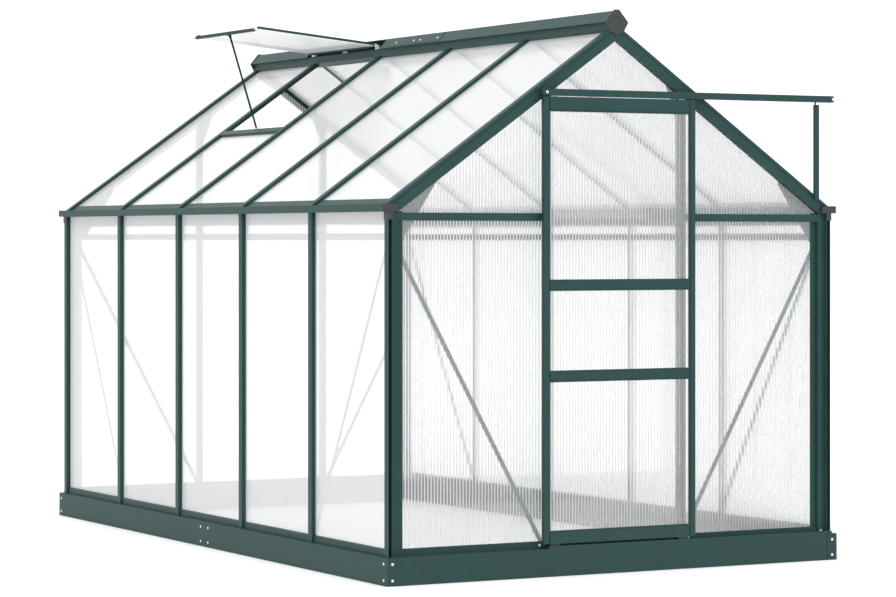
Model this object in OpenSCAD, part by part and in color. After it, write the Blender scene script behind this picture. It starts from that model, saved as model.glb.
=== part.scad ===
// Walk-in greenhouse, aluminium frame, twin-wall panels, sliding door, one roof vent.
// X is across the house, Y runs along the ridge with the door at -Y, Z is up.
// The origin is the middle of the base's underside.

/* [Base] */
// Width of the base over its outer faces
base_w = 1900; // [1500:10:2600]
// Length of the base over its outer faces
base_l = 3120; // [2600:10:4600]
// Height of the base boards
base_h = 98; // [70:1:160]
// Width of the base boards' top and bottom flanges
base_flange = 60; // [56:1:90]
// Thickness of the base boards' sheet
sheet = 2; // [1.5:0.5:3]
// Length of the tab that each side board turns round its corner
corner_tab = 42; // [30:1:60]
// Radius of the base screws' shanks
screw_r = 2.5; // [1.5:0.5:3]

/* [Frame] */
// Distance from the base's side face to the wall bars' outer face
wall_inset = 15; // [10:1:30]
// Distance from the base's end face to the gable bars' outer face
gable_inset = 36; // [36:1:60]
// Distance from the base's end face to the outermost wall bar's face
corner_inset = 20; // [20:1:20]
// Number of bays along each side
bays = 5; // [5:1:7]
// Height of the wall bars' top, the underside of the gutter
eave_z = 1300; // [1200:10:1700]
// Pitch of the roof in degrees
pitch = 35; // [30:1:40]
// Width of a bar's face
bar_w = 30; // [26:1:36]
// How far a wall bar stands out from its panels
bar_d = 16; // [12:1:20]
// How far a roof bar stands out from its panels
roof_bar_d = 12; // [10:1:14]
// Wall thickness of the extruded bars
bar_wall = 2; // [1.5:0.5:2.5]
// Depth of the rafters' face
rafter_face = 48; // [44:1:60]
// Height of the sill strip on the base
sill_h = 25; // [18:1:40]
// Height of the horizontal bars at the gables' eaves
gable_bar_h = 28; // [22:1:34]
// Half the distance between the centres of the door jambs
jamb_x = 286; // [260:1:300]
// Half the distance between the centres of the rear gable's bars
rear_bar_x = 305; // [260:5:340]
// How far a corner post's lip covers the gable panel
post_lip = 25; // [11:1:30]

/* [Panels] */
// Thickness of the twin-wall panels
panel = 4; // [4:0.5:6]
// Clearance on each face of a panel in its slot
panel_gap = 0.2; // [0.1:0.1:0.5]
// Clearance between a panel's edge and the bar it enters
edge_gap = 0.5; // [0.3:0.1:1]

/* [Ridge and gutters] */
// Height of the ridge's flat top above the point where the slopes meet
ridge_rise = 49; // [44:1:60]
// Half the width over the ridge's wings
ridge_wing = 45; // [40:1:55]
// Half the width of the ridge's lower box
ridge_box = 31; // [26:1:34]
// Width of the gutter's floor
gutter_w = 55; // [55:1:65]
// Height of the gutter's outer lip
gutter_h = 26; // [24:1:34]
// Height of the leg under the eave beam
eave_leg = 44; // [10:1:60]
// Distance along Y from the middle to the ridge's joint
ridge_joint = -40; // [-100:10:0]

/* [Door] */
// Width of the door
door_w = 640; // [620:10:700]
// Height of the door
door_h = 1596; // [1400:1:1597]
// Gap between the base and the door's bottom edge
door_lift = 18; // [16:1:20]
// Thickness of the door's frame
door_d = 14; // [14:1:18]
// Width of the door's stiles
stile_w = 21; // [18:1:34]
// Distance that the door slides
door_travel = 600; // [300:10:600]
// Length of the top rail past the closed door
rail_extra = 620; // [620:10:630]
// Height of the top rail
rail_h = 24; // [24:1:26]
// Depth of the top rail, front to back
rail_d = 27; // [27:1:27]
// Radius of the door's wheels
wheel_r = 7.8; // [6:0.1:7.8]
// Radius of the wheels' axles
axle_r = 2.5; // [2:0.1:3]

/* [Vent] */
// Length of the vent from its hinge to its free edge
vent_l = 556; // [500:1:600]
// Angle of the open vent above the horizontal
vent_open = 5.6; // [0:0.1:12]
// Thickness of the vent's frame
vent_d = 12; // [12:1:14]
// Width of the vent's side rails
vent_rail = 12; // [11:1:16]
// Height of the vent's side rails over its pane
vent_rail_h = 10; // [6:1:14]
// Height of the vent's hinge above the ridge's lower flange
hinge_rise = 18.5; // [16:0.5:22]
// Radius of the vent's hinge rod
rod_r = 3; // [2.5:0.5:4]
// Width of the flat stay
stay_w = 8; // [6:1:12]
// Thickness of the flat stay
stay_t = 3; // [2:1:3]
// Radius of the stay's pivot pin and of its peg
pin_r = 2.5; // [2:0.5:2.5]

/* [Bracing] */
// Width of the flat braces
brace_w = 16; // [12:1:22]
// Thickness of the braces and gusset plates
plate_t = 2; // [1.5:0.5:3]
// Drop from the eaves to the inner tie rail's underside
tie_drop = 101; // [101:1:200]
// Height of the inner tie rail
tie_h = 25; // [15:1:30]

/* [Hidden] */
$fn = 32;
eps = 1;
frame_paint = "#3d5754";
dark_paint = "#1e3230";
pane_white = [0.93, 0.94, 0.94, 0.6];
black_plastic = "#232526";
zinc = "#dfe2e2";
half_w = base_w / 2;
half_l = base_l / 2;
wall_x = half_w - wall_inset;
gable_y = half_l - gable_inset;
corner_y = half_l - corner_inset - bar_w / 2;
bay = 2 * corner_y / bays;
slot = panel + 2 * panel_gap;
flange_t = bar_wall;
bar_depth = bar_d + slot + flange_t;
stem_w = 3;
inner_flange = bar_w - 6;
sill_front = 8;
sill_top = base_h + sill_h;
post_in = wall_x - bar_d - bar_w - 2;
door_lip = 5;
// Height at which the roof's outer planes would meet over the middle
apex_z = eave_z + 26.4 + wall_x * tan(pitch);
bed_n = -(roof_bar_d + slot);
roof_cut_x = wall_x + 1;
eave_in = wall_x - 30;
gutter_out = eave_in + gutter_w;
gutter_y = half_l - 22;
end_gap = 0.3;
rafter_front = gable_y + 3;
gable_bar_z = eave_z - 32;
inner_plane_x = wall_x - bar_depth;
inner_plane_y = gable_y - bar_depth;
tie_z = eave_z - tie_drop;
run_gap = 0.05;
// Door and its rail, measured back from the base's end face
door_front = half_l - 2;
door_back = door_front - door_d;
door_z = base_h + door_lift;
// The leaf never reaches above what the rafters leave for the head bar
leaf_h = min(door_h, roof_z(jamb_x + bar_w / 2, -rafter_face) - door_z + 2);
door_top = door_z + leaf_h;
rail_z = door_top + 4;
rail_front = half_l - 4;
rail_back = rail_front - rail_d;
slot_y = (rail_front + rail_back) / 2;
slot_w = 7;
hanger_t = 3;
hanger_x = door_w / 2 - 50;
wheel_z = rail_z + bar_wall + wheel_r + end_gap;
head_z = rail_z - 44;
rail_left = -door_w / 2 - 2;
rail_right = door_w / 2 + rail_extra;
rail_bands = [
  [0, 47, 0, 1], [leaf_h - 1020, leaf_h - 978, 1, 1],
  [leaf_h - 694, leaf_h - 653, 1, 1], [leaf_h - 53, leaf_h, 1, 0]
];
// Vent, in the plane across the ridge; n is height above the roof bars' tops
hinge_x = ridge_box + 9;
hinge_z = ridge_plate_z() + hinge_rise;
vent_y0 = bay / 2 - 2.5;
vent_y1 = bay * 1.5 + 2.5;
vent_mid = bay;
sill_s = vent_l + 16;
pivot_r = vent_l - 31;
pivot_n = -14;
peg_s = sill_s - bar_w / 2 - 8;
peg_n = -17;
pivot = [
  -hinge_x - pivot_r * cos(vent_open) + pivot_n * sin(vent_open),
  hinge_z + pivot_r * sin(vent_open) + pivot_n * cos(vent_open)
];
peg = [
  -(peg_s * cos(pitch) + peg_n * sin(pitch)),
  apex_z - peg_s * sin(pitch) + peg_n * cos(pitch)
];
stay_l = norm(peg - pivot);
stay_a = atan2(peg[1] - pivot[1], peg[0] - pivot[0]);
screw_z = [19, 76];

// Height of a line n above the roof bars' tops, at distance x from the middle
function roof_z(x, n) = apex_z - x * tan(pitch) + n / cos(pitch);
function ridge_plate_z() = apex_z + 6;
// Where a gable's upright bars stand
function upright_x(front) = front ? jamb_x : rear_bar_x;
// Outline of everything that the ridge fills, grown by g
function ridge_outline(g) = [
  [-9 - g / 2, apex_z + ridge_rise + g], [9 + g / 2, apex_z + ridge_rise + g],
  [ridge_wing + g, ridge_plate_z() + 2.5 + g / 2], [ridge_wing + g, ridge_plate_z() - g / 2],
  [ridge_box + g, ridge_plate_z() - g], [ridge_box + g, roof_z(ridge_box + g, 0)],
  [0, roof_z(ridge_box, 0) - 15], [-ridge_box - g, roof_z(ridge_box + g, 0)],
  [-ridge_box - g, ridge_plate_z() - g], [-ridge_wing - g, ridge_plate_z() - g / 2],
  [-ridge_wing - g, ridge_plate_z() + 2.5 + g / 2]
];

module mirror_if(flip, axis) {
  if (flip) mirror(axis) children();
  else children();
}

// A block given by its two opposite corners
module block(low, high) {
  translate(low) cube(high - low);
}

// Children drawn in X and Z, pushed from y0 to y1
module across_y(y0, y1) {
  translate([0, y1, 0]) rotate([90, 0, 0]) linear_extrude(y1 - y0) children();
}

// Local X runs down the right slope from the apex, local Z is height above the bars
module on_roof(left) {
  mirror_if(left, [1, 0, 0]) translate([0, 0, apex_z]) rotate([0, pitch, 0]) children();
}

// A glazing bar's section: X across its face, Y from its outer face inwards
module bar_section(w, d) {
  difference() {
    translate([-w / 2, 0]) square([w, d]);
    translate([-w / 2 + bar_wall, bar_wall]) square([w - 2 * bar_wall, d - 2 * bar_wall]);
  }
  translate([-stem_w / 2, d]) square([stem_w, slot]);
  translate([-w / 2 + 3, d + slot]) square([w - 6, flange_t]);
}

// ---------- base ----------

// Places of the base screws on one quarter: [x, y, 1 for the end face]
function quarter_screws() = [
  for (z = screw_z) [half_w, corner_y + bar_w / 2 - 6, z, 0],
  for (z = screw_z) [half_w - corner_tab / 2, half_l, z, 1],
  for (z = screw_z) [half_w, 35, z, 0]
];

module at_base_screws() {
  for (sx = [-1, 1], sy = [-1, 1], p = quarter_screws())
    translate([sx * p[0], sy * p[1], p[2]])
      rotate(p[3] == 1 ? [-90 * sy, 0, 0] : [0, 90 * sx, 0])
        children();
}

module screw_holes() {
  at_base_screws() translate([0, 0, -12]) cylinder(r = screw_r + run_gap, h = 14);
}

// One half of the right side board, from the middle to the front corner at +Y
module side_board_half() {
  block([half_w - sheet, 0, 0], [half_w, half_l, base_h]);
  for (z = [0, base_h - sheet])
    block([half_w - base_flange, 0, z], [half_w, half_l - 2 * sheet, z + sheet]);
  block([half_w - corner_tab, half_l - sheet, 0], [half_w, half_l, base_h]);
}

module side_board(left, front) {
  color(frame_paint) difference() {
    mirror_if(left, [1, 0, 0]) mirror_if(front, [0, 1, 0]) side_board_half();
    screw_holes();
  }
}

module end_board(front) {
  color(frame_paint) difference() {
    mirror_if(front, [0, 1, 0]) {
      block([-half_w + sheet, half_l - 2 * sheet, 0], [half_w - sheet, half_l - sheet, base_h]);
      for (z = [0, base_h - sheet])
        block(
          [-half_w + base_flange, half_l - base_flange, z],
          [half_w - base_flange, half_l - sheet, z + sheet]
        );
    }
    screw_holes();
  }
}

module base_left_front() { side_board(true, true); }
module base_left_rear() { side_board(true, false); }
module base_right_front() { side_board(false, true); }
module base_right_rear() { side_board(false, false); }
module base_front_board() { end_board(true); }
module base_rear_board() { end_board(false); }

module base_splices() {
  color(dark_paint) difference() {
    for (left = [false, true]) mirror_if(left, [1, 0, 0])
      block([half_w - 2 * sheet, -60, 10], [half_w - sheet, 60, base_h - 10]);
    screw_holes();
  }
}

module base_corner_angles() {
  leg = 44;
  color(dark_paint) difference() {
    for (left = [false, true], front = [false, true])
      mirror_if(left, [1, 0, 0]) mirror_if(front, [0, 1, 0]) {
        block(
          [half_w - 2 * sheet, half_l - 2 * sheet - leg, 10],
          [half_w - sheet, half_l - 2 * sheet, base_h - 10]
        );
        block(
          [half_w - sheet - leg, half_l - 3 * sheet, 10],
          [half_w - sheet, half_l - 2 * sheet, base_h - 10]
        );
      }
    screw_holes();
  }
}

module base_screws() {
  color(zinc) at_base_screws() {
    cylinder(r = 5, h = 1.2);
    translate([0, 0, 1.2]) cylinder(r = 3.6, h = 0.8);
    translate([0, 0, -9]) cylinder(r = screw_r, h = 9);
  }
}

// ---------- sills ----------

module side_sill_shape(g) {
  block(
    [wall_x - bar_depth - g, -gable_y + bar_d, base_h],
    [wall_x - sill_front + g, gable_y - bar_d, sill_top + g]
  );
}

module gable_sill_shape(g) {
  block(
    [-post_in - 2, gable_y - bar_depth - g, base_h],
    [post_in + 2, gable_y - sill_front + g, sill_top + g]
  );
}

module side_sills() {
  color(frame_paint) for (left = [false, true]) mirror_if(left, [1, 0, 0]) side_sill_shape(0);
}

module gable_sills() {
  color(frame_paint) for (front = [false, true]) mirror_if(front, [0, 1, 0]) gable_sill_shape(0);
}

// ---------- walls ----------

// Corner post: a wall bar and a gable bar in one L-shaped extrusion, at the +X +Y corner
module post_section() {
  side_back = wall_x - bar_d;
  gable_back = gable_y - bar_d;
  difference() {
    union() {
      translate([side_back, corner_y - bar_w / 2]) square([bar_d, bar_w]);
      translate([post_in + 2, gable_back]) square([side_back - post_in - 2, bar_d]);
    }
    translate([side_back + bar_wall, corner_y - bar_w / 2 + bar_wall])
      square([bar_d - 2 * bar_wall, bar_w]);
    translate([post_in + 2 + bar_wall, gable_back + bar_wall])
      square([side_back - post_in - 2 - 2 * bar_wall, bar_d - 2 * bar_wall]);
  }
  translate([post_in + 2 - post_lip, gable_back]) square([post_lip + 1, bar_wall]);
  translate([inner_plane_x, inner_plane_y])
    square([flange_t, gable_back - inner_plane_y + 1]);
  translate([inner_plane_x, inner_plane_y - 16]) square([flange_t, 17]);
  translate([post_in - 8, inner_plane_y]) square([inner_plane_x - post_in + 9, flange_t]);
}

module corner_posts() {
  color(frame_paint)
    for (left = [false, true], front = [false, true])
      mirror_if(left, [1, 0, 0]) mirror_if(front, [0, 1, 0]) difference() {
        translate([0, 0, base_h]) linear_extrude(eave_z - base_h) post_section();
        side_sill_shape(0);
        gable_sill_shape(0);
        block(
          [0, inner_plane_y - eps, gable_bar_z],
          [post_in + 2, gable_y + eps, gable_bar_z + gable_bar_h]
        );
      }
}

module post_top_clips() {
  clip = 3;
  drop = 28;
  color(black_plastic)
    for (left = [false, true], front = [false, true])
      mirror_if(left, [1, 0, 0]) mirror_if(front, [0, 1, 0]) {
        block(
          [wall_x - bar_d - 2, corner_y + bar_w / 2, eave_z - drop],
          [wall_x + clip, corner_y + bar_w / 2 + clip, eave_z]
        );
        block(
          [wall_x, corner_y - bar_w / 2, eave_z - drop],
          [wall_x + clip, corner_y + bar_w / 2, eave_z]
        );
      }
}

module wall_bars(left) {
  color(frame_paint)
    mirror_if(left, [1, 0, 0])
      for (k = [1:bays - 1]) difference() {
        translate([wall_x, -corner_y + k * bay, base_h]) rotate([0, 0, 90])
          linear_extrude(eave_z - base_h) bar_section(bar_w, bar_d);
        side_sill_shape(0);
      }
}

module left_wall_bars() { wall_bars(true); }
module right_wall_bars() { wall_bars(false); }

// Two upright bars of a gable at x, cut to the rafters; drawn for the rear at +Y
module gable_uprights(x) {
  for (left = [false, true]) mirror_if(left, [1, 0, 0]) difference() {
    translate([x, gable_y, base_h]) rotate([0, 0, 180])
      linear_extrude(apex_z - base_h) bar_section(bar_w, bar_d);
    gable_sill_shape(0);
    on_roof(false) block([0, 0, -rafter_face], [base_w, half_l, base_w]);
  }
}

module rear_gable_bars() { color(frame_paint) gable_uprights(rear_bar_x); }
module door_jambs() { color(frame_paint) mirror([0, 1, 0]) gable_uprights(jamb_x); }

// A horizontal gable bar from x0 to x1, drawn for the rear at +Y
module gable_rail(x0, x1, z, h) {
  translate([x0, gable_y, z + h / 2]) rotate([90, 0, 90])
    linear_extrude(x1 - x0) rotate(90) bar_section(h, bar_d);
}

module gable_eave_bars() {
  color(frame_paint) {
    for (left = [false, true], front = [false, true])
      mirror_if(left, [1, 0, 0]) mirror_if(front, [0, 1, 0])
        gable_rail(upright_x(front) + bar_w / 2, post_in + 2, gable_bar_z, gable_bar_h);
    gable_rail(-rear_bar_x + bar_w / 2, rear_bar_x - bar_w / 2, gable_bar_z, gable_bar_h);
  }
}

module door_head_bar() {
  color(frame_paint) mirror([0, 1, 0])
    gable_rail(-jamb_x + bar_w / 2, jamb_x - bar_w / 2, head_z, bar_w);
}

// ---------- gutters ----------

// Section of the eave beam and its gutter on the right, in X and Z
module gutter_section() {
  mid = wall_x - 2;
  difference() {
    polygon([
      [eave_in, eave_z], [gutter_out, eave_z], [gutter_out, eave_z + 2], [mid, eave_z + 2],
      [mid, roof_z(mid, bed_n)], [eave_in, roof_z(eave_in, bed_n)]
    ]);
    polygon([
      [eave_in + 2, eave_z + 2], [mid - 2, eave_z + 2],
      [mid - 2, roof_z(mid - 2, bed_n - 2)], [eave_in + 2, roof_z(eave_in + 2, bed_n - 2)]
    ]);
  }
  translate([gutter_out - 2, eave_z]) square([2, gutter_h]);
  translate([gutter_out - 5, eave_z + gutter_h - 2]) square([5, 2]);
}

// What the roof bars and rafters leave free for the eave beam
module eave_room() {
  across_y(-half_l, half_l) polygon([
    [eave_in, 0], [base_w, 0], [base_w, apex_z], [roof_cut_x, apex_z],
    [roof_cut_x, roof_z(roof_cut_x, bed_n)], [eave_in, roof_z(eave_in, bed_n)]
  ]);
}

// Strips that hold the roof panels down at the eave, one in each bay
module eave_strips() {
  strip_w = 46;
  strip_s = (roof_cut_x + roof_bar_d * sin(pitch)) / cos(pitch) - strip_w - 8;
  strip_top = -8;
  for (k = [0:bays - 1]) on_roof(false) block(
    [strip_s, strip_low(k), -roof_bar_d - panel_gap],
    [strip_s + strip_w, -strip_low(bays - 1 - k), strip_top]
  );
}

function strip_low(k) =
  (k == 0 ? -rafter_front + bar_w : -corner_y + k * bay + bar_w / 2) + edge_gap;

// Leg under the eave beam, inside the wall
module eave_leg_section() {
  translate([eave_in, eave_z - eave_leg]) square([bar_wall, eave_leg + 1]);
}

module gutter(left) {
  joint = 0.3;
  leg_end = inner_plane_y - plate_t - 3;
  color(frame_paint) mirror_if(left, [1, 0, 0]) {
    across_y(-gutter_y, -joint) gutter_section();
    across_y(joint, gutter_y) gutter_section();
    across_y(-leg_end, -joint) eave_leg_section();
    across_y(joint, leg_end) eave_leg_section();
    eave_strips();
  }
}

module left_gutter() { gutter(true); }
module right_gutter() { gutter(false); }

module gutter_end_caps() {
  cap = 4;
  color(black_plastic)
    for (left = [false, true], front = [false, true])
      mirror_if(left, [1, 0, 0]) mirror_if(front, [0, 1, 0])
        across_y(gutter_y, gutter_y + cap) polygon([
          [eave_in - 8, eave_z], [gutter_out, eave_z], [gutter_out, eave_z + gutter_h + 1],
          [eave_in + 6, eave_z + gutter_h + 1], [eave_in - 8, eave_z + gutter_h - 4]
        ]);
}

// ---------- roof ----------

module ridge_room() {
  across_y(-half_l, half_l) polygon(ridge_outline(0));
}

// A rafter on the right slope at the +Y gable, from apex to eave
module rafter() {
  fin_y = inner_plane_y;
  difference() {
    on_roof(false) difference() {
      union() {
        block([0, rafter_front - bar_w, -roof_bar_d], [base_w, rafter_front, 0]);
        block([0, gable_y - bar_d, -rafter_face], [base_w, rafter_front, -roof_bar_d - 2]);
        block([0, gable_y - bar_d, -roof_bar_d - 3], [base_w, rafter_front - 3, -roof_bar_d]);
        block([0, fin_y - 9, bed_n - flange_t], [base_w, gable_y - bar_d, bed_n]);
        block([0, fin_y, bed_n - 14], [base_w, fin_y + flange_t, bed_n]);
      }
      block(
        [-eps, rafter_front - bar_w + bar_wall, -roof_bar_d + bar_wall],
        [base_w + eps, rafter_front - bar_wall, -bar_wall]
      );
      block(
        [-eps, gable_y - bar_d + bar_wall, -rafter_face + bar_wall],
        [base_w + eps, rafter_front - bar_wall, -roof_bar_d - 2 - bar_wall]
      );
    }
    ridge_room();
    eave_room();
    block([-base_w, 0, 0], [base_w, base_l, eave_z]);
    block([-base_w, 0, 0], [0, base_l, 2 * base_w]);
  }
}

module rafters(front) {
  color(frame_paint) mirror_if(front, [0, 1, 0])
    for (left = [false, true]) mirror_if(left, [1, 0, 0]) rafter();
}

module front_rafters() { rafters(true); }
module rear_rafters() { rafters(false); }

module roof_bars(left) {
  color(frame_paint) mirror_if(left, [1, 0, 0])
    for (k = [1:bays - 1]) difference() {
      on_roof(false) translate([0, -corner_y + k * bay, 0])
        rotate([90, 0, 90]) linear_extrude(base_w) mirror([0, 1]) bar_section(bar_w, roof_bar_d);
      ridge_room();
      eave_room();
      block([-base_w, -half_l, 0], [0, half_l, 2 * base_w]);
    }
}

module left_roof_bars() { roof_bars(true); }
module right_roof_bars() { roof_bars(false); }

// The ridge: two steep wings over a closed lower box
module ridge_section() {
  t = 2.5;
  plate = ridge_plate_z();
  foot = roof_z(ridge_box, 0);
  difference() {
    polygon(ridge_outline(0));
    polygon([
      [-ridge_box + t, foot + 1], [0, foot - 15 + t + 1], [ridge_box - t, foot + 1],
      [ridge_box - t, plate], [-ridge_box + t, plate]
    ]);
    polygon([
      [-7.5, apex_z + ridge_rise - t], [7.5, apex_z + ridge_rise - t],
      [ridge_wing - 5, plate + t], [-ridge_wing + 5, plate + t]
    ]);
  }
}

module ridge_beam_front() {
  color(frame_paint) across_y(-rafter_front, ridge_joint) ridge_section();
}

module ridge_beam_rear() {
  notch = 38;
  color(frame_paint) difference() {
    across_y(ridge_joint, rafter_front) ridge_section();
    block(
      [-base_w, vent_y0 - notch, ridge_plate_z() + 2.5],
      [-9, vent_y1 + notch, 2 * base_w]
    );
    block([-base_w, vent_y0 - notch, 0], [-ridge_box, vent_y1 + notch, 2 * base_w]);
  }
}

// Sleeve plates over both wings where the two ridge beams meet
module ridge_splice() {
  run = ridge_wing - 9;
  rise = ridge_rise - 8.5;
  t = 1.5;
  color(frame_paint)
    for (left = [false, true]) mirror_if(left, [1, 0, 0])
      translate([9, 0, apex_z + ridge_rise]) rotate([0, atan2(rise, run), 0])
        block([3, ridge_joint - 210, 0], [norm([run, rise]) - 3, ridge_joint + 210, t]);
}

module ridge_end_caps() {
  cap = 4;
  color(black_plastic) for (front = [false, true]) mirror_if(front, [0, 1, 0]) {
    across_y(rafter_front, rafter_front + cap) polygon([
      [-10, apex_z + ridge_rise + 4], [10, apex_z + ridge_rise + 4],
      [ridge_wing + 4, ridge_plate_z() + 1], [ridge_box, roof_z(ridge_box, 0) - 3],
      [0, roof_z(ridge_box, 0) - 19], [-ridge_box, roof_z(ridge_box, 0) - 3],
      [-ridge_wing - 4, ridge_plate_z() + 1]
    ]);
    block(
      [-ridge_box + 4, rafter_front - 15, roof_z(ridge_box, 0) + 4],
      [ridge_box - 4, rafter_front, ridge_plate_z() - 1]
    );
  }
}

module vent_sill_bar() {
  color(frame_paint) on_roof(true)
    translate([sill_s, bay / 2 + bar_w / 2, 0]) rotate([-90, 0, 0])
      linear_extrude(bay - bar_w) bar_section(bar_w, roof_bar_d);
}

// ---------- bracing ----------

module corner_gussets() {
  low = 1190;
  out = eave_in;
  color(frame_paint)
    for (left = [false, true], front = [false, true])
      mirror_if(left, [1, 0, 0]) mirror_if(front, [0, 1, 0])
        across_y(inner_plane_y - plate_t, inner_plane_y) polygon([
          [out - 37, eave_z - 110], [out, eave_z - 110], [out, roof_z(out, bed_n - 4)],
          [out - 181, roof_z(out - 181, bed_n - 4)], [out - 181, eave_z + 107]
        ]);
  color(frame_paint)
    for (left = [false, true], front = [false, true]) {
      in = upright_x(front) - 58;
      end = upright_x(front) + 12;
      mirror_if(left, [1, 0, 0]) mirror_if(front, [0, 1, 0])
        across_y(inner_plane_y - plate_t, inner_plane_y) polygon([
          [in, roof_z(in, bed_n - 30)], [in, roof_z(in, bed_n - 4)],
          [end, roof_z(end, bed_n - 4)], [end, roof_z(end, bed_n - 90)],
          [end - 24, roof_z(end, bed_n - 90)]
        ]);
    }
}

// A flat brace in a plane, past its bolt holes by half its width
module brace(from, to) {
  a = atan2(to[1] - from[1], to[0] - from[0]);
  difference() {
    translate(from) rotate(a) translate([-brace_w / 2, -brace_w / 2])
      square([norm(to - from) + brace_w, brace_w]);
    for (p = [from, to]) translate(p) circle(3);
  }
}

// Braces in both end bays of each side wall
module wall_braces() {
  y_top = inner_plane_y - plate_t - brace_w * 0.75;
  y_foot = corner_y - bay + 4;
  color(frame_paint)
    for (left = [false, true], front = [false, true])
      mirror_if(left, [1, 0, 0]) mirror_if(front, [0, 1, 0])
        translate([inner_plane_x, 0, 0]) rotate([90, 0, -90]) linear_extrude(plate_t)
          mirror([1, 0]) brace([y_top, tie_z - 12], [y_foot, sill_top + 12]);
}

// Braces in the outer bays of each gable
module gable_braces() {
  color(frame_paint)
    for (left = [false, true], front = [false, true])
      mirror_if(left, [1, 0, 0]) mirror_if(front, [0, 1, 0])
        across_y(inner_plane_y - plate_t, inner_plane_y)
          brace([post_in - 2, eave_z - 125], [upright_x(front) + 10, base_h + 12]);
}

module tie_rails() {
  leg = 15;
  rear_end = eave_in - 66;
  color(frame_paint) {
    for (left = [false, true]) mirror_if(left, [1, 0, 0]) {
      block(
        [inner_plane_x - plate_t, -inner_plane_y + plate_t + 1, tie_z],
        [inner_plane_x, inner_plane_y - plate_t - 1, tie_z + tie_h]
      );
      block(
        [inner_plane_x - leg, -inner_plane_y + plate_t + 1, tie_z],
        [inner_plane_x, inner_plane_y - plate_t - 1, tie_z + plate_t]
      );
    }
    block(
      [-rear_end, inner_plane_y - plate_t, tie_z],
      [rear_end, inner_plane_y, tie_z + tie_h]
    );
  }
}

module tie_rail_brackets() {
  color(frame_paint)
    for (left = [false, true]) mirror_if(left, [1, 0, 0])
      for (k = [1:bays - 1])
        translate([0, -corner_y + k * bay, 0])
          block(
            [eave_in + bar_wall, -inner_flange / 2, tie_z + tie_h],
            [inner_plane_x, -inner_flange / 2 + 3, eave_z]
          );
}

// ---------- panels ----------

panel_x = wall_x - bar_d - panel_gap - panel;
panel_y = gable_y - bar_d - panel_gap - panel;
bar_side = stem_w / 2 + edge_gap;

// Where the panels of bay k begin and end along Y
function bay_low(k) = k == 0 ? -gable_y + bar_d + edge_gap : -corner_y + k * bay + bar_side;
function bay_high(k) = -bay_low(bays - 1 - k);

module wall_panels(left) {
  color(pane_white) mirror_if(left, [1, 0, 0])
    for (k = [0:bays - 1])
      block(
        [panel_x, bay_low(k), sill_top + edge_gap],
        [panel_x + panel, bay_high(k), eave_z - edge_gap]
      );
}

module left_wall_panels() { wall_panels(true); }
module right_wall_panels() { wall_panels(false); }

gable_edge = inner_plane_x - edge_gap;
gable_mid_z = gable_bar_z + gable_bar_h / 2;
panel_roof_n = bed_n - flange_t - edge_gap;

// The two outer bays of a gable past its uprights at x, above and below the eave bar
module gable_side_panels(x) {
  for (left = [false, true]) mirror_if(left, [1, 0, 0]) across_y(panel_y, panel_y + panel) {
    translate([x + bar_side, sill_top + edge_gap])
      square([gable_edge - x - bar_side, gable_mid_z - bar_side - sill_top - edge_gap]);
    polygon([
      [x + bar_side, gable_mid_z + bar_side], [eave_in - 5, gable_mid_z + bar_side],
      [eave_in - 5, roof_z(eave_in - 5, panel_roof_n)],
      [x + bar_side, roof_z(x + bar_side, panel_roof_n)]
    ]);
  }
}

// The top panel between uprights at x, from height z up to the ridge
module gable_top_panel(x, z) {
  in = x - bar_side;
  top = roof_z(ridge_box, 0) - 19;
  tip = (roof_z(0, panel_roof_n) - top) / tan(pitch);
  across_y(panel_y, panel_y + panel)
    polygon([
      [-in, z], [in, z], [in, roof_z(in, panel_roof_n)], [tip, top],
      [-tip, top], [-in, roof_z(in, panel_roof_n)]
    ]);
}

module front_gable_panels() {
  color(pane_white) mirror([0, 1, 0]) {
    gable_side_panels(jamb_x);
    gable_top_panel(jamb_x, head_z + bar_w / 2 + bar_side);
  }
}

module rear_gable_panels() {
  in = rear_bar_x - bar_side;
  color(pane_white) {
    gable_side_panels(rear_bar_x);
    gable_top_panel(rear_bar_x, gable_mid_z + bar_side);
    block([-in, panel_y, sill_top + edge_gap], [in, panel_y + panel, gable_mid_z - bar_side]);
  }
}

module roof_panels(left) {
  vent_bay = 3;
  color(pane_white) mirror_if(left, [1, 0, 0])
    for (k = [0:bays - 1]) difference() {
      on_roof(false) block(
        [left && k == vent_bay ? sill_s + bar_side : 0, bay_low(k), -roof_bar_d - panel_gap - panel],
        [base_w, bay_high(k), -roof_bar_d - panel_gap]
      );
      across_y(-half_l, half_l) polygon(ridge_outline(edge_gap));
      block([roof_cut_x + 2, -half_l, 0], [2 * base_w, half_l, 2 * base_w]);
      block([-base_w, -half_l, 0], [1, half_l, 2 * base_w]);
    }
}

module left_roof_panels() { roof_panels(true); }
module right_roof_panels() { roof_panels(false); }

// ---------- door rail and track ----------

// Section of the top rail in Y and Z, its slot on the underside
module rail_section() {
  difference() {
    translate([-rail_front, rail_z]) square([rail_d, rail_h]);
    translate([-rail_front + bar_wall, rail_z + bar_wall])
      square([rail_d - 2 * bar_wall, rail_h - 2 * bar_wall]);
    translate([-slot_y - slot_w / 2, rail_z - eps]) square([slot_w, bar_wall + 2 * eps]);
  }
}

module door_rail() {
  color(frame_paint) translate([rail_left, 0, 0]) rotate([90, 0, 90])
    linear_extrude(rail_right - rail_left) rail_section();
}

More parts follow.
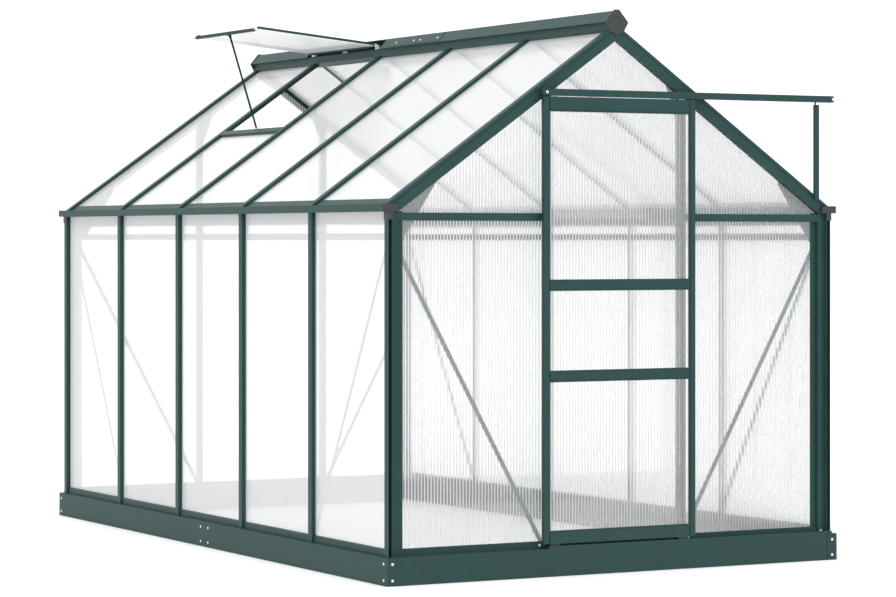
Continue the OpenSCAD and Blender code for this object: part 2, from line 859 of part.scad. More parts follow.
module rail_strut() {
  x = wall_x - 69;
  w = 18;
  neck = 9;
  color(frame_paint) {
    difference() {
      block([x, -rail_back - 11.5, roof_z(x, 0) - 22], [x + w, -rafter_front, rail_z - neck]);
      block(
        [x + 2, -rail_back - 9.5, roof_z(x, 0) - 22 - eps],
        [x + w - 2, -rafter_front - 2, rail_z - neck + eps]
      );
    }
    block([x + w / 2 - 3, -rail_back, rail_z - neck - 6], [x + w / 2 + 3, -rafter_front, rail_z + 12]);
    for (left = [false, true]) mirror_if(left, [1, 0, 0])
      block([jamb_x - 10, -rail_back, rail_z + 4], [jamb_x + 10, -rafter_front, rail_z + rail_h - 4]);
  }
}

module rail_stops() {
  stop = 8;
  g = end_gap;
  color(black_plastic)
    for (x = [rail_left, rail_right - stop])
      block(
        [x, -rail_front + bar_wall + g, rail_z + bar_wall],
        [x + stop, -rail_back - bar_wall - g, rail_z + rail_h - bar_wall - g]
      );
}

track_front = half_l - 3;
track_back = half_l - 19;

module door_track() {
  x0 = -hanger_x - 30;
  x1 = rail_right - 10;
  color(frame_paint) {
    block([x0, -track_front, base_h], [x1, -track_back, base_h + 2]);
    block([x0, -track_front, base_h], [x1, -track_front + 2, base_h + 10]);
    block([x0, -track_back - 2, base_h], [x1, -track_back, base_h + 10]);
  }
}

module bolt_head() {
  cylinder(r = 5, h = 1);
  translate([0, 0, 1]) cylinder(r = 3.5, h = 1);
}

module frame_bolts() {
  wing_a = atan2(ridge_rise - 8.5, ridge_wing - 9);
  wing_l = norm([ridge_rise - 8.5, ridge_wing - 9]);
  color(zinc) {
    for (left = [false, true], y = [-178, -30, 25, 178])
      mirror_if(left, [1, 0, 0]) translate([9, ridge_joint + y, apex_z + ridge_rise])
        rotate([0, wing_a, 0]) translate([wing_l * 0.6, 0, 1.5]) bolt_head();
    for (left = [false, true]) mirror_if(left, [1, 0, 0])
      translate([jamb_x + 29, -gable_y + sill_front, base_h + 12]) rotate([90, 0, 0]) bolt_head();
    for (x = [rail_left + 16, rail_right - 4])
      translate([x, -rail_front, rail_z + rail_h / 2]) rotate([90, 0, 0]) bolt_head();
    for (front = [false, true]) mirror_if(front, [0, 1, 0])
      translate([wall_x - bar_d - 16, gable_y, base_h + 9]) rotate([-90, 0, 0]) bolt_head();
  }
}

// ---------- door ----------

// A stile of the door, at -X, with lips that hold the panes
module stile_section() {
  x = -door_w / 2;
  difference() {
    translate([x, -door_front]) square([stile_w, door_d]);
    translate([x + bar_wall, -door_front + bar_wall])
      square([stile_w - 2 * bar_wall, door_d - 2 * bar_wall]);
  }
  for (y = [door_lip_y(0), door_lip_y(1)])
    translate([x + stile_w - eps, y]) square([door_lip + eps, flange_t]);
}

// Where the front and back lips of the door's rails start along Y
function door_lip_y(back) = -door_front + 3 + back * (flange_t + slot);

module door_stiles() {
  color(frame_paint) for (left = [false, true]) mirror_if(left, [1, 0, 0])
    translate([0, 0, door_z]) linear_extrude(leaf_h) stile_section();
}

module door_cross_rails() {
  in = door_w / 2 - stile_w - door_lip;
  color(frame_paint) for (b = rail_bands) {
    low = door_z + b[0] + b[2] * 7;
    high = door_z + b[1] - b[3] * 7;
    difference() {
      block([-in, -door_front, low], [in, -door_back, high]);
      block([-in - eps, -door_front + 2, low + 2], [in + eps, -door_back - 2, high - 2]);
    }
    for (back = [0, 1]) {
      y = door_lip_y(back);
      if (b[3] == 1) block([-in, y, high], [in, y + flange_t, high + 7]);
      if (b[2] == 1) block([-in, y, low - 7], [in, y + flange_t, low]);
    }
  }
}

module door_panes() {
  in = door_w / 2 - stile_w - edge_gap;
  y = door_lip_y(0) + flange_t + panel_gap;
  color(pane_white) for (k = [0:len(rail_bands) - 2])
    block(
      [-in, y, door_z + rail_bands[k][1] - 7 + edge_gap],
      [in, y + panel, door_z + rail_bands[k + 1][0] + 7 - edge_gap]
    );
}

module door_hangers() {
  color(zinc) for (side = [-1, 1]) translate([side * hanger_x, 0, 0]) difference() {
    block([-15, -door_back, door_top - 40], [15, -door_back + hanger_t, wheel_z + 7]);
    translate([0, -door_back + hanger_t + eps, wheel_z]) rotate([90, 0, 0])
      cylinder(r = axle_r + run_gap, h = hanger_t + 2 * eps);
  }
}

module door_shoes() {
  y = (track_front + track_back) / 2;
  color(black_plastic) for (side = [-1, 1])
    block(
      [side * hanger_x - 20, -y - 4, base_h + 3],
      [side * hanger_x + 20, -y + 4, door_z]
    );
}

// An axle with a wheel on each side of its hanger
module roller(side) {
  wheel_t = 5.5;
  inner = 2;
  color(black_plastic) translate([side * hanger_x, -door_back + hanger_t / 2, wheel_z])
    rotate([90, 0, 0]) {
      translate([0, 0, -hanger_t / 2 - inner]) cylinder(r = axle_r, h = hanger_t + 2 * inner);
      for (z = [hanger_t / 2 + inner, -hanger_t / 2 - inner - wheel_t])
        translate([0, 0, z]) cylinder(r = wheel_r, h = wheel_t);
    }
}

module left_roller() { roller(-1); }
module right_roller() { roller(1); }

// ---------- vent ----------

// Local X runs from the hinge to the free edge, local Z is up from the hinge
module on_vent() {
  translate([-hinge_x, 0, hinge_z]) rotate([0, vent_open, 0]) mirror([1, 0, 0]) children();
}

hinge_lugs = [vent_y0 + 8, vent_mid, vent_y1 - 8];
lug_w = 16;

module vent_hinge_rod() {
  color(zinc) {
    translate([-hinge_x, vent_y0, hinge_z]) rotate([-90, 0, 0])
      cylinder(r = rod_r, h = vent_y1 - vent_y0);
    for (y = hinge_lugs) translate([-hinge_x, y - lug_w / 2, hinge_z]) difference() {
      union() {
        rotate([-90, 0, 0]) cylinder(r = rod_r + 2.5, h = lug_w);
        block([1.5, 0, ridge_plate_z() + 2.5 - hinge_z], [hinge_x - ridge_box + 6, lug_w, 0]);
      }
      translate([0, -eps, 0]) rotate([-90, 0, 0]) cylinder(r = rod_r + run_gap, h = lug_w + 2 * eps);
    }
  }
}

module vent_slot(y0, y1, x0, x1) {
  block([x0, y0, -6 - panel_gap], [x1, y1, -6 + panel + panel_gap]);
}

module vent_side_rails() {
  color(frame_paint) on_vent() for (y = [vent_y0, vent_y1 - vent_rail])
    block([9, y, panel - 6], [vent_l - 15, y + vent_rail, panel - 6 + vent_rail_h]);
}

module vent_edge_rails() {
  y0 = vent_y0 + vent_rail + end_gap;
  y1 = vent_y1 - vent_rail - end_gap;
  lug_y = vent_mid + stay_t / 2 + end_gap;
  color(dark_paint) on_vent() {
    difference() {
      block([vent_l - 12, y0 + 4, -vent_d], [vent_l, y1 - 4, 0]);
      vent_slot(y0 - eps, y1 + eps, vent_l - 12 - eps, vent_l - 3.6);
    }
    difference() {
      block([9, y0, -vent_d], [23, y1, 0]);
      vent_slot(y0 - eps, y1 + eps, 14, 23 + eps);
    }
    for (k = [0, 1]) {
      k0 = hinge_lugs[k] + lug_w / 2 + end_gap;
      k1 = hinge_lugs[k + 1] - lug_w / 2 - end_gap;
      difference() {
        union() {
          translate([0, k0, 0]) rotate([-90, 0, 0]) cylinder(r = rod_r + 2.5, h = k1 - k0);
          block([0, k0, -4], [9.5, k1, 0]);
        }
        translate([0, k0 - eps, 0]) rotate([-90, 0, 0])
          cylinder(r = rod_r + run_gap, h = k1 - k0 + 2 * eps);
      }
    }
    difference() {
      union() {
        block([pivot_r, lug_y, -vent_d], [vent_l - 12, lug_y + 3, -6 - 2 * panel_gap]);
        block([pivot_r - 5, lug_y, pivot_n], [pivot_r + 5, lug_y + 3, -6 - 2 * panel_gap]);
        translate([pivot_r, lug_y, pivot_n]) rotate([-90, 0, 0]) cylinder(r = 5, h = 3);
      }
      translate([pivot_r, lug_y - eps, pivot_n]) rotate([-90, 0, 0])
        cylinder(r = pin_r, h = 3 + 2 * eps);
    }
    translate([pivot_r, lug_y - stay_t - 2 * end_gap, pivot_n]) rotate([-90, 0, 0])
      cylinder(r = pin_r - run_gap, h = stay_t + 2 * end_gap + 4);
    translate([pivot_r, lug_y - stay_t - 2 * end_gap - 2, pivot_n]) rotate([-90, 0, 0])
      cylinder(r = 4.5, h = 2);
  }
}

module vent_pane() {
  color(pane_white) on_vent()
    block([15, vent_y0, -6], [vent_l - 4, vent_y1, -6 + panel]);
}

// A flat stay from the vent's pivot down to an open hook over the peg
module vent_stay() {
  eye = 6;
  hook = pin_r + 0.4;
  color(dark_paint) translate([pivot[0], vent_mid + stay_t / 2, pivot[1]])
    rotate([90, -stay_a, 0]) linear_extrude(stay_t) difference() {
      union() {
        circle(eye);
        translate([0, -stay_w / 2]) square([stay_l, stay_w]);
        translate([stay_l, 0]) circle(eye);
      }
      circle(pin_r + 0.03);
      translate([stay_l, 0]) circle(hook);
      translate([stay_l, 0]) rotate(-120) translate([0, -hook]) square([3 * eye, 2 * hook]);
    }
}

module stay_peg() {
  lug_t = 3;
  y = vent_mid - stay_t / 2 - 2.5;
  color(zinc) on_roof(true) {
    block([peg_s - 5, y - lug_t, peg_n - 5], [sill_s - bar_w / 2, y, -3]);
    translate([peg_s, y, peg_n]) rotate([-90, 0, 0]) cylinder(r = pin_r, h = stay_t + 5);
  }
}

base_left_front();
base_left_rear();
base_right_front();
base_right_rear();
base_front_board();
base_rear_board();
base_splices();
base_corner_angles();
base_screws();
side_sills();
gable_sills();
corner_posts();
post_top_clips();
left_wall_bars();
right_wall_bars();
rear_gable_bars();
door_jambs();
gable_eave_bars();
door_head_bar();
left_gutter();
right_gutter();
gutter_end_caps();
front_rafters();
rear_rafters();
left_roof_bars();
right_roof_bars();
ridge_beam_front();
ridge_beam_rear();
ridge_splice();
ridge_end_caps();
vent_sill_bar();
corner_gussets();
wall_braces();
gable_braces();
tie_rails();
tie_rail_brackets();
left_wall_panels();
right_wall_panels();
front_gable_panels();
rear_gable_panels();
left_roof_panels();
right_roof_panels();
door_rail();
rail_strut();
rail_stops();
door_track();
frame_bolts();
vent_hinge_rod();
stay_peg();
door_stiles();
door_cross_rails();
door_panes();
door_hangers();
door_shoes();
left_roller();
right_roller();
vent_side_rails();
vent_edge_rails();
vent_pane();
vent_stay();
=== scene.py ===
# %% [markdown]
# # A walk-in greenhouse
#
# The real object is a small aluminium greenhouse with white twin-wall panels, a sliding door and one roof vent.
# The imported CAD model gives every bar, panel and fastener its true shape, place and joint.
# This lesson adds what a CAD model leaves out: finishes, the flutes inside the panels, and light.

# %% Load the frame
import math

import bpy
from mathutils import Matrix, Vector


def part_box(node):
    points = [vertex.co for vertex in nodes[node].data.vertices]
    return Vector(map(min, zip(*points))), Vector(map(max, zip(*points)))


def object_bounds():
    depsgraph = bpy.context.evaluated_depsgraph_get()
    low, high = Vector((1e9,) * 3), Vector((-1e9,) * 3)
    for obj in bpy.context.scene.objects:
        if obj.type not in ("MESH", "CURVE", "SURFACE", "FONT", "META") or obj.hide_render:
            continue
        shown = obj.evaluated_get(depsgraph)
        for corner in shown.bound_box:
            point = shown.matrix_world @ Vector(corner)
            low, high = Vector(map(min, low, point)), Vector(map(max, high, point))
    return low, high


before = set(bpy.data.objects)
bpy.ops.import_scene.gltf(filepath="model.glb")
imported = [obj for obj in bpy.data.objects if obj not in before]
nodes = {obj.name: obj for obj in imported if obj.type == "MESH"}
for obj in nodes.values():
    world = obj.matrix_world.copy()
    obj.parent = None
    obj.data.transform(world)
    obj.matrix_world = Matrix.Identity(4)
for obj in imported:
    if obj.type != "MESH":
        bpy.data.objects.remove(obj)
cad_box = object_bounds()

# %% [markdown]
# ## Reading the real size
#
# Every bar and panel already has its place, so nothing is moved here. It helps to know how big the house is
# before choosing the grain of a finish: a pattern that suits a toy looks wrong on a wall three metres long.
# The numbers come from the CAD nodes' own boxes.

# %% Measure the frame
def top_of(node):
    """Highest point of a node, in metres."""
    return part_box(node)[1][2]


width, length, height = (cad_box[1][axis] - cad_box[0][axis] for axis in range(3))
print("house %.2f m wide, %.2f m long, %.2f m high with the vent propped" % (width, length, height))
print("base %.3f m high, eaves at %.3f m" % (top_of("base_front_board"), top_of("left_wall_bars")))

# %% [markdown]
# ## Small helpers for node graphs
#
# A material is a graph of nodes. Writing each link by hand is long, so one helper feeds an input with a link or
# a plain value, and three more add a node, do a step of arithmetic and blend two colours.
# A maker would call them the tools of the bench.

# %% Node helpers
def feed(tree, socket, value):
    """Links a socket to another socket, or gives it a plain value."""
    if isinstance(value, bpy.types.NodeSocket):
        tree.links.new(value, socket)
    else:
        socket.default_value = value


def add(tree, kind, **values):
    """A node of a kind, with its inputs set by name or by number."""
    node = tree.nodes.new(kind)
    for key, value in values.items():
        if key.startswith("in_"):
            index = key[3:]
            socket = node.inputs[int(index)] if index.isdigit() else node.inputs[index.replace("_", " ")]
            feed(tree, socket, value)
        else:
            setattr(node, key, value)
    return node


def maths(tree, operation, first, second=0.0):
    """One arithmetic step."""
    return add(tree, "ShaderNodeMath", operation=operation, in_0=first, in_1=second).outputs[0]


def blend_colours(tree, factor, first, second):
    """Mixes two colours by a factor."""
    node = add(tree, "ShaderNodeMix", data_type="RGBA")
    for index, value in ((0, factor), (6, first), (7, second)):
        feed(tree, node.inputs[index], value)
    return node.outputs[2]


print("node helpers ready")

# %% [markdown]
# ## Starting a finish, and what several finishes share
#
# Every finish starts from one Principled shader. What several of them share, such as cloud, dust or flutes, is
# a node group, built once and placed in each material with its own values. Relief that is too fine for a mesh
# goes in as a bump, which turns the surface's normal and leaves its shape alone.

# %% Material and group helpers
def new_material(name):
    """An empty node material with a Principled shader joined to its output."""
    material = bpy.data.materials.new(name)
    material.use_nodes = True
    tree = material.node_tree
    tree.nodes.clear()
    shader = add(tree, "ShaderNodeBsdfPrincipled")
    output = add(tree, "ShaderNodeOutputMaterial")
    tree.links.new(shader.outputs[0], output.inputs[0])
    return material, tree, shader


def new_group(name, inputs, outputs):
    """A shader node group with float or colour sockets: {name: default}."""
    group = bpy.data.node_groups.new(name, "ShaderNodeTree")
    for direction, sockets in (("INPUT", inputs), ("OUTPUT", outputs)):
        for label, value in sockets.items():
            kind = "NodeSocketColor" if isinstance(value, tuple) else "NodeSocketFloat"
            socket = group.interface.new_socket(name=label, in_out=direction, socket_type=kind)
            if direction == "INPUT":
                socket.default_value = value
    return group, add(group, "NodeGroupInput"), add(group, "NodeGroupOutput")


def place_group(tree, group, **values):
    """Puts a node group into a material with its own values."""
    node = tree.nodes.new("ShaderNodeGroup")
    node.node_tree = group
    for key, value in values.items():
        feed(tree, node.inputs[key.replace("_", " ")], value)
    return node


def emboss(tree, shader, height, strength, depth):
    """Joins a height to the shader's normal as a bump, depth in metres."""
    bump = add(tree, "ShaderNodeBump", in_Strength=strength, in_Distance=depth, in_Height=height)
    tree.links.new(bump.outputs[0], shader.inputs["Normal"])


print("material helpers ready")

# %% [markdown]
# ## Powder coat, shared by every painted bar
#
# Powder coat has a fine orange peel, a little cloudiness in its colour, and dust that settles low on the walls.
# All painted materials need that, so it is one node group: a noise for the cloud, a finer noise for the peel,
# and a mask that grows towards the ground. It could be painted by hand, but a rule gives every bar its share.

# %% The powder coat group
DUST_TOP = 0.5  # metres up to which dust settles
DUST_ABOVE = 0.15  # share of it higher up
DUST = (0.42, 0.42, 0.38, 1)
CLOUD_DULLS = 0.14  # how much rougher a cloudy patch is
powder, gate, out = new_group(
    "powder_coat",
    {"Paint": (0.1, 0.1, 0.1, 1), "Worn": (0.2, 0.2, 0.2, 1), "Cloud": 0.2, "Dust": 0.2, "Gloss": 0.35},
    {"Color": (0, 0, 0, 1), "Roughness": 0.0, "Height": 0.0},
)
place = add(powder, "ShaderNodeTexCoord").outputs["Object"]
cloud = add(powder, "ShaderNodeTexNoise", in_Vector=place, in_Scale=7.0, in_Detail=4.0).outputs[0]
peel = add(powder, "ShaderNodeTexNoise", in_Vector=place, in_Scale=900.0, in_Detail=2.0).outputs[0]
speck = add(powder, "ShaderNodeTexNoise", in_Vector=place, in_Scale=160.0, in_Detail=3.0).outputs[0]
height_z = add(powder, "ShaderNodeSeparateXYZ", in_0=place).outputs[2]
low_down = add(powder, "ShaderNodeMapRange", in_Value=height_z, in_1=0.0, in_2=DUST_TOP, in_3=1.0, in_4=DUST_ABOVE)
near_ground = low_down.outputs[0]
dust_mask = maths(powder, "MULTIPLY", maths(powder, "MULTIPLY", speck, near_ground), gate.outputs["Dust"])
cloud_mask = maths(powder, "MULTIPLY", cloud, gate.outputs["Cloud"])
tinted = blend_colours(powder, cloud_mask, gate.outputs["Paint"], gate.outputs["Worn"])
dusty = blend_colours(powder, dust_mask, tinted, DUST)
powder.links.new(dusty, out.inputs["Color"])
rough = maths(powder, "ADD", gate.outputs["Gloss"], maths(powder, "MULTIPLY", cloud, CLOUD_DULLS))
powder.links.new(rough, out.inputs["Roughness"])
powder.links.new(peel, out.inputs["Height"])
print("powder coat sockets:", [s.name for s in gate.outputs if s.name])

# %% [markdown]
# ## The frame's paints
#
# One green is used all over, yet the base boards are pressed steel sheet and look flatter than the extruded
# bars. The vent's edge rails, its stay, and the base's splices and corner angles sit in shade and read darker,
# so they get their own mix of the same paint.

# %% Painted metals
PEEL_DEPTH = 0.0004
PAINT_SHINE = 0.12


def painted(name, paint, worn, gloss, cloudy, dusty, peel):
    """A powder-coated metal."""
    material, tree, shader = new_material(name)
    coat = place_group(tree, powder, Paint=paint, Worn=worn, Cloud=cloudy, Dust=dusty, Gloss=gloss)
    tree.links.new(coat.outputs["Color"], shader.inputs["Base Color"])
    tree.links.new(coat.outputs["Roughness"], shader.inputs["Roughness"])
    emboss(tree, shader, coat.outputs["Height"], peel, PEEL_DEPTH)
    shader.inputs["Specular IOR Level"].default_value = PAINT_SHINE
    return material


BAR_GREEN = (0.017, 0.047, 0.046, 1)
BAR_WORN = (0.024, 0.070, 0.068, 1)
BASE_GREEN = (0.014, 0.043, 0.042, 1)
DARK_GREEN = (0.001, 0.026, 0.025, 1)
bar_paint = painted("bar_paint", BAR_GREEN, BAR_WORN, gloss=0.34, cloudy=0.5, dusty=0.03, peel=0.12)
base_paint = painted("base_paint", BASE_GREEN, BAR_WORN, gloss=0.42, cloudy=0.5, dusty=0.04, peel=0.16)
dark_paint = painted("dark_paint", DARK_GREEN, BAR_GREEN, gloss=0.36, cloudy=0.4, dusty=0.02, peel=0.12)
print("paints:", bar_paint.name, base_paint.name, dark_paint.name)

# %% [markdown]
# ## Twin-wall sheet
#
# The panels are two thin skins with thin ribs between them. The ribs run up the sheet, about thirteen
# millimetres apart, and show as fine lines. Modelling a thousand hollow ribs would make a huge mesh that looks
# the same, so the ribs are a pattern across the sheet. It gives the rib itself, a rounded swell of the skin
# that is highest at the rib and bends light as a long lens does, and a faint cloud.
# A side wall and the roof count their ribs along the ridge, a gable counts them across the house.

# %% The flute group
FLUTE = 0.0128  # metres from rib to rib
RIB_REACH = 0.15  # a rib fades out this far from its middle, as a share of the pitch
RIB_CORE = 0.02  # and is full within this
flutes, gate, out = new_group(
    "flutes",
    {"Along X": 0.0, "Along Y": 1.0, "Pitch": FLUTE, "Rib Width": RIB_REACH},
    {"Rib": 0.0, "Swell": 0.0, "Cloud": 0.0},
)
place = add(flutes, "ShaderNodeTexCoord").outputs["Object"]
xyz = add(flutes, "ShaderNodeSeparateXYZ", in_0=place)
across = maths(
    flutes, "ADD",
    maths(flutes, "MULTIPLY", xyz.outputs[0], gate.outputs["Along X"]),
    maths(flutes, "MULTIPLY", xyz.outputs[1], gate.outputs["Along Y"]),
)
turns = maths(flutes, "FRACT", maths(flutes, "DIVIDE", across, gate.outputs["Pitch"]))
from_rib = maths(flutes, "ABSOLUTE", maths(flutes, "SUBTRACT", turns, 0.5))
rib_edge = gate.outputs["Rib Width"]
rib = add(flutes, "ShaderNodeMapRange", in_Value=from_rib, in_1=rib_edge, in_2=RIB_CORE, in_3=0.0, in_4=1.0)
half = maths(flutes, "MULTIPLY", from_rib, 2.0)
swell = maths(flutes, "SUBTRACT", 1.0, maths(flutes, "MULTIPLY", half, half))
flutes.links.new(rib.outputs[0], out.inputs["Rib"])
flutes.links.new(swell, out.inputs["Swell"])
cloud = add(flutes, "ShaderNodeTexNoise", in_Vector=place, in_Scale=2.2, in_Detail=3.0).outputs[0]
flutes.links.new(cloud, out.inputs["Cloud"])
print("flute pitch %.1f mm" % (FLUTE * 1000))

# %% [markdown]
# ## Milky sheets for the sides, the roof and the vent
#
# Seen at a slant these sheets look milky: some light passes straight through, some is spread in the skins.
# Alpha gives the part that passes, a little less at each rib, and keeps well in an exported model. The skins
# also carry daylight from behind, which a weak even glow stands for. A true volume would be slow and noisy.

# %% Milky sheets
SHEET_GLOW = 0.155
RIB_DEPTH = 0.0006
HAZE = (0.80, 0.84, 0.85, 1)
HAZE_SHARE = 0.10


def glow(shader, strength):
    """A weak white glow for the daylight that a sheet carries."""
    shader.inputs["Emission Color"].default_value = (1, 1, 1, 1)
    shader.inputs["Emission Strength"].default_value = strength


def milky_sheet(name, pale, grey, see_through, at_rib, rough, ribbed):
    """A part see-through fluted sheet whose ribs are counted along the ridge."""
    material, tree, shader = new_material(name)
    pattern = place_group(tree, flutes, Along_X=0.0, Along_Y=1.0)
    tone = blend_colours(tree, pattern.outputs["Rib"], pale, grey)
    cloudy = blend_colours(tree, maths(tree, "MULTIPLY", pattern.outputs["Cloud"], HAZE_SHARE), tone, HAZE)
    tree.links.new(cloudy, shader.inputs["Base Color"])
    rib_share = maths(tree, "MULTIPLY", pattern.outputs["Rib"], see_through - at_rib)
    cover = maths(tree, "ADD", maths(tree, "SUBTRACT", 1.0, see_through), rib_share)
    tree.links.new(cover, shader.inputs["Alpha"])
    shader.inputs["Roughness"].default_value = rough
    shader.inputs["Specular IOR Level"].default_value = 0.5
    glow(shader, SHEET_GLOW)
    emboss(tree, shader, pattern.outputs["Swell"], ribbed, RIB_DEPTH)
    return material


side_sheet = milky_sheet(
    "side_sheet", pale=(0.66, 0.67, 0.67, 1), grey=(0.50, 0.53, 0.53, 1),
    see_through=0.50, at_rib=0.40, rough=0.24, ribbed=0.2,
)
roof_sheet = milky_sheet(
    "roof_sheet", pale=(0.53, 0.535, 0.535, 1), grey=(0.43, 0.445, 0.445, 1),
    see_through=0.48, at_rib=0.40, rough=0.16, ribbed=0.12,
)
vent_sheet = milky_sheet(
    "vent_sheet", pale=(0.70, 0.71, 0.71, 1), grey=(0.60, 0.62, 0.62, 1),
    see_through=0.42, at_rib=0.34, rough=0.18, ribbed=0.12,
)
print("milky sheets:", side_sheet.name, roof_sheet.name, vent_sheet.name)

# %% [markdown]
# ## Clear fluted sheets for the gables and the door
#
# Seen face on, the same sheet is clear between its ribs, but its skin swells at each rib like a long lens. That
# draws what is behind it out sideways, so a far upright fades while a level board stays and looks combed. Glass
# with the swell as its bump does that, and the rough ribs scatter the rest. Plain see-through would show every
# upright sharp.

# %% Clear fluted sheets
LENS_DEPTH = 0.0014
CLEAR = (0.97, 0.975, 0.975, 1)
TINGED = (0.90, 0.93, 0.93, 1)
TINGE_SHARE = 0.08
PASSES = 0.96  # share of the light that goes through
BENDING = 1.35  # index of refraction


def clear_fluted(name, smooth, rib_rough):
    """A clear fluted sheet: its swells bend the view sideways and its ribs scatter it."""
    material, tree, shader = new_material(name)
    pattern = place_group(tree, flutes, Along_X=1.0, Along_Y=0.0)
    tone = blend_colours(tree, maths(tree, "MULTIPLY", pattern.outputs["Cloud"], TINGE_SHARE), CLEAR, TINGED)
    tree.links.new(tone, shader.inputs["Base Color"])
    rough = maths(tree, "ADD", smooth, maths(tree, "MULTIPLY", pattern.outputs["Rib"], rib_rough))
    tree.links.new(rough, shader.inputs["Roughness"])
    shader.inputs["Transmission Weight"].default_value = PASSES
    shader.inputs["IOR"].default_value = BENDING
    # A weak painted glow, half as strong as the milky sheets', stands in for the daylight these sheets carry.
    glow(shader, SHEET_GLOW / 2)
    emboss(tree, shader, pattern.outputs["Swell"], 1.0, LENS_DEPTH)
    return material


gable_sheet = clear_fluted("gable_sheet", smooth=0.02, rib_rough=0.6)
print("clear sheet:", gable_sheet.name)

# %% [markdown]
# ## Moulded plastic and galvanised steel
#
# The end caps and clips are charcoal nylon with a fine spark-eroded grain. The screws are zinc plated and
# have a pale, slightly mottled face. Both are small, so a noise with the right grain size is enough.

# %% Small parts' materials
GRAIN_DEPTH = 0.0003
GRAIN_DULLS = 0.2  # how much rougher a pale grain is


def grained(name, dark, light, scale, metallic, rough, strength):
    """A mottled plastic or plated metal."""
    material, tree, shader = new_material(name)
    place = add(tree, "ShaderNodeTexCoord").outputs["Object"]
    noise = add(tree, "ShaderNodeTexNoise", in_Vector=place, in_Scale=scale, in_Detail=4.0).outputs[0]
    tree.links.new(blend_colours(tree, noise, dark, light), shader.inputs["Base Color"])
    tree.links.new(maths(tree, "ADD", maths(tree, "MULTIPLY", noise, GRAIN_DULLS), rough), shader.inputs["Roughness"])
    shader.inputs["Metallic"].default_value = metallic
    emboss(tree, shader, noise, strength, GRAIN_DEPTH)
    return material


charcoal = grained(
    "charcoal_nylon", dark=(0.010, 0.014, 0.016, 1), light=(0.022, 0.028, 0.030, 1),
    scale=700.0, metallic=0.0, rough=0.38, strength=0.3,
)
zinc = grained(
    "zinc_plate", dark=(0.60, 0.61, 0.60, 1), light=(0.86, 0.87, 0.86, 1),
    scale=260.0, metallic=0.35, rough=0.30, strength=0.15,
)
print("small finishes:", charcoal.name, zinc.name)

# %% [markdown]
# ## Dressing the CAD nodes
#
# Each CAD node keeps its mesh and only changes its finish. A table says which finish goes on which nodes,
# and whatever is not named is a painted bar. That way a new bar in the CAD model is never left grey.

# %% Put the finishes on
FINISHES = {
    base_paint: ["base_left_front", "base_left_rear", "base_right_front", "base_right_rear",
                 "base_front_board", "base_rear_board"],
    dark_paint: ["vent_edge_rails", "vent_stay", "base_splices", "base_corner_angles"],
    charcoal: ["post_top_clips", "gutter_end_caps", "ridge_end_caps", "rail_stops", "door_shoes",
               "left_roller", "right_roller"],
    zinc: ["base_screws", "frame_bolts", "vent_hinge_rod", "stay_peg", "door_hangers"],
    side_sheet: ["left_wall_panels", "right_wall_panels"],
    gable_sheet: ["front_gable_panels", "rear_gable_panels", "door_panes"],
    roof_sheet: ["left_roof_panels", "right_roof_panels"],
    vent_sheet: ["vent_pane"],
}
finish_of = {node: material for material, names in FINISHES.items() for node in names}
for name, piece in nodes.items():
    material = finish_of.get(name, bar_paint)
    piece.data.materials.clear()
    piece.data.materials.append(material)
print("dressed", len(nodes), "nodes,", sum(1 for n in nodes if n not in finish_of), "of them as painted bars")
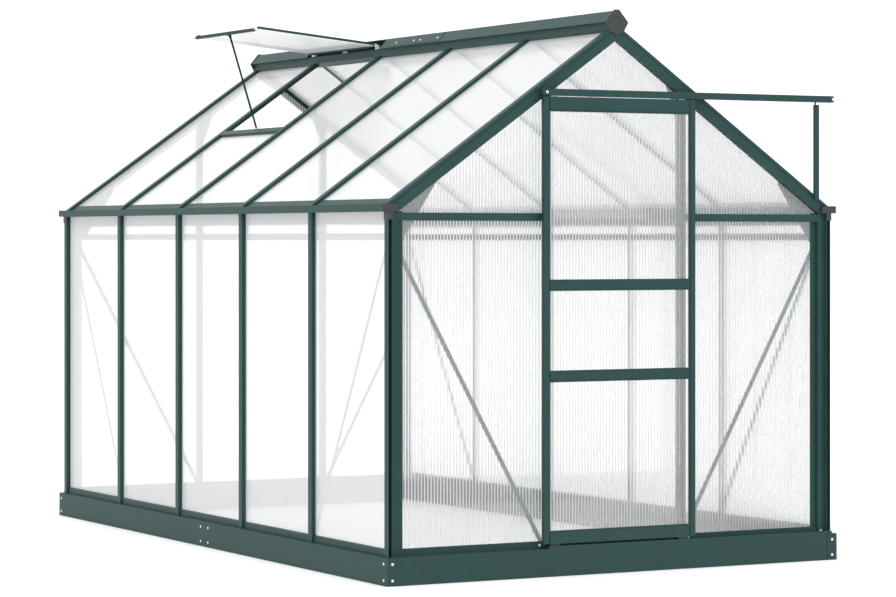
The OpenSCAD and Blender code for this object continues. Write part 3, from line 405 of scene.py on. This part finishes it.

# %% [markdown]
# ## Floor
#
# A house like this is shown on white. A wide pale floor runs far behind it, a hair below the base so that the
# two never share a plane. It is staging and is not a piece of the greenhouse.

# %% Floor
FLOOR_SIZE = 60.0
FLOOR_DROP = 0.001
FLOOR_DIM = (0.93, 0.93, 0.93, 1)
FLOOR_PALE = (0.96, 0.96, 0.96, 1)
FLOOR_ROUGH = 0.9
floor_mesh = bpy.data.meshes.new("floor")
edge = FLOOR_SIZE / 2
corners = [(-edge, -edge, 0), (edge, -edge, 0), (edge, edge, 0), (-edge, edge, 0)]
floor_mesh.from_pydata(corners, [], [(0, 1, 2, 3)])
floor = bpy.data.objects.new("floor", floor_mesh)
bpy.context.collection.objects.link(floor)
floor.location.z = -FLOOR_DROP
floor_material, tree, shader = new_material("studio_floor")
place = add(tree, "ShaderNodeTexCoord").outputs["Object"]
grain = add(tree, "ShaderNodeTexNoise", in_Vector=place, in_Scale=3.0, in_Detail=2.0).outputs[0]
tree.links.new(blend_colours(tree, grain, FLOOR_DIM, FLOOR_PALE), shader.inputs["Base Color"])
shader.inputs["Roughness"].default_value = FLOOR_ROUGH
floor_mesh.materials.append(floor_material)
print("floor of %.0f m" % FLOOR_SIZE)

# %% [markdown]
# ## Light
#
# The world is a soft, even white, a little brighter than paper, so light comes through the sheets from every
# side. One broad sun from the front left gives the bars a lit and a shaded side, and a weaker one from the
# front right fills the shade. Lamps near the house would put hot spots on the sheets, so there are none.

# %% Light
WORLD_STRENGTH = 1.22
world = bpy.data.worlds.new("studio")
bpy.context.scene.world = world
world.use_nodes = True
sky = world.node_tree.nodes["Background"]
sky.inputs[0].default_value = (1.0, 1.0, 1.0, 1)
sky.inputs[1].default_value = WORLD_STRENGTH


def sun(name, strength, tilt, turn, spread):
    """A soft distant light, tilted from straight down and turned about the vertical."""
    data = bpy.data.lights.new(name, "SUN")
    data.energy = strength
    data.angle = math.radians(spread)
    lamp = bpy.data.objects.new(name, data)
    lamp.rotation_euler = (math.radians(tilt), 0, math.radians(turn))
    bpy.context.collection.objects.link(lamp)


sun("key", strength=1.0, tilt=38, turn=-62, spread=40)
sun("fill", strength=0.3, tilt=65, turn=25, spread=60)
bpy.context.scene.view_settings.view_transform = "Standard"

# %% [markdown]
# ## Camera
#
# A long lens at chest height, about twelve metres away, keeps the house in calm perspective. The camera is
# level, and the small vertical shift frames the house without tilting, so the uprights stay upright.

# %% Camera
camera_data = bpy.data.cameras.new("camera")
camera_data.sensor_width = 36.0
camera_data.lens = 122.35
camera_data.shift_y = -0.0671
camera_data.clip_end = 200.0
camera = bpy.data.objects.new("camera", camera_data)
camera.location = (-5.7791, -10.9295, 1.2059)
camera.rotation_euler = (math.radians(90), 0, math.radians(-28.412))
bpy.context.collection.objects.link(camera)
bpy.context.scene.camera = camera
print("lens %.1f mm" % camera_data.lens)
